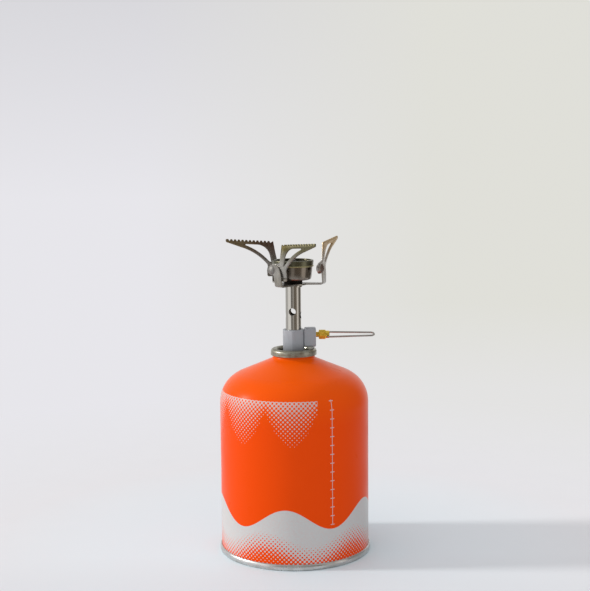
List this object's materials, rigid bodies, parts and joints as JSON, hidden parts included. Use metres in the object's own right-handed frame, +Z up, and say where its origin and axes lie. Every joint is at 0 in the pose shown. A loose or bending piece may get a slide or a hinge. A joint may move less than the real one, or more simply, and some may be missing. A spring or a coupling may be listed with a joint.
{
  "type": "titanium gas stove",
  "caption": "Canister-top gas stove with swing-out toothed pot arms, cup burner, air-holed mixing tube and needle valve with wire handle, screwed onto an orange gas canister.",
  "frame": {"origin": "centre of the canister's foot, on the floor", "axes": "+Z up along the canister and mixing tube, +X out along the needle valve's spindle and handle, +Y away from the side that the picture shows"},
  "size_m": [0.1143, 0.1104, 0.2274],
  "materials": {
    "orange_paint": "gloss",
    "tinplate": "satin",
    "seal_rubber": "matte",
    "valve_plastic": "matte",
    "spring_steel": "satin",
    "grey_anodised": "matte",
    "brass": "satin",
    "titanium": "satin",
    "heat_tinted_titanium": "satin, heat tinted",
    "burner_metal": "satin, heat darkened",
    "wire_steel": "satin"
  },
  "bodies": {
    "canister": {"canister_shell": "orange_paint", "canister_base": "tinplate", "base_seam": "tinplate", "valve_cup": "tinplate", "cup_gasket": "seal_rubber", "valve_housing": "valve_plastic", "valve_spring": "spring_steel", "stem_gasket": "seal_rubber"},
    "stem": {"valve_stem": "valve_plastic"},
    "seal": {"coupling_seal": "seal_rubber"},
    "stove": {"valve_body": "grey_anodised", "actuator_pin": "spring_steel", "gas_filter": "brass", "gas_jet": "brass", "needle_block": "grey_anodised", "gland_nut": "brass", "mixing_tube": "titanium", "tube_collar": "titanium", "support_bracket": "titanium", "burner_bowl": "burner_metal", "burner_ring": "burner_metal", "port_plate": "burner_metal", "burner_cap": "burner_metal", "cap_rivet": "titanium", "arm_washers": "titanium", "arm_rivets": "titanium"},
    "needle_seal": {"spindle_seal": "seal_rubber"},
    "spindle": {"valve_spindle": "brass"},
    "handle": {"control_handle": "wire_steel"},
    "arm_1": {"pot_arm_1": "heat_tinted_titanium"},
    "arm_2": {"pot_arm_2": "heat_tinted_titanium"},
    "arm_3": {"pot_arm_3": "heat_tinted_titanium"}
  },
  "joints": [
    {"name": "stem_press", "type": "slide", "parent": "canister", "child": "stem", "axis": [0, 0, 1], "range_m": [-0.0008, 0], "stiffness_N_per_m": 300, "springref_m": 0.002, "deforming": ["valve_spring"]},
    {"name": "stove_lift", "type": "slide", "parent": "canister", "child": "seal", "axis": [0, 0, 1], "range_m": [0, 0.00636]},
    {"name": "stove_turn", "type": "hinge", "parent": "seal", "child": "stove", "pos_m": [0, 0, 0.15206], "axis": [0, 0, 1], "range_deg": [0, 2520]},
    {"name": "needle_slide", "type": "slide", "parent": "stove", "child": "needle_seal", "axis": [1, 0, 0], "range_m": [-0.001, 0]},
    {"name": "spindle_turn", "type": "hinge", "parent": "needle_seal", "child": "spindle", "pos_m": [0.01275, 0, 0.15816], "axis": [1, 0, 0], "range_deg": [-721, 0]},
    {"name": "handle_fold", "type": "hinge", "parent": "spindle", "child": "handle", "pos_m": [0.0247, 0, 0.15816], "axis": [0, -0.9397, -0.342], "range_deg": [-50, 110]},
    {"name": "arm_1_fold", "type": "hinge", "parent": "stove", "child": "arm_1", "pos_m": [0.01893, -0.00493, 0.20676], "axis": [0.9455, -0.3256, 0], "range_deg": [0, 90]},
    {"name": "arm_2_fold", "type": "hinge", "parent": "stove", "child": "arm_2", "pos_m": [-0.00519, 0.01886, 0.20676], "axis": [-0.1908, 0.9816, 0], "range_deg": [0, 90]},
    {"name": "arm_3_fold", "type": "hinge", "parent": "stove", "child": "arm_3", "pos_m": [-0.01373, -0.01393, 0.20676], "axis": [-0.7547, -0.6561, 0], "range_deg": [0, 90]}
  ],
  "couplings": [
    {"joint": "stove_lift", "follows": "stove_turn", "m_per_rad": 0.00014438},
    {"joint": "spindle_turn", "follows": "needle_slide", "rad_per_m": 12566}
  ]
}
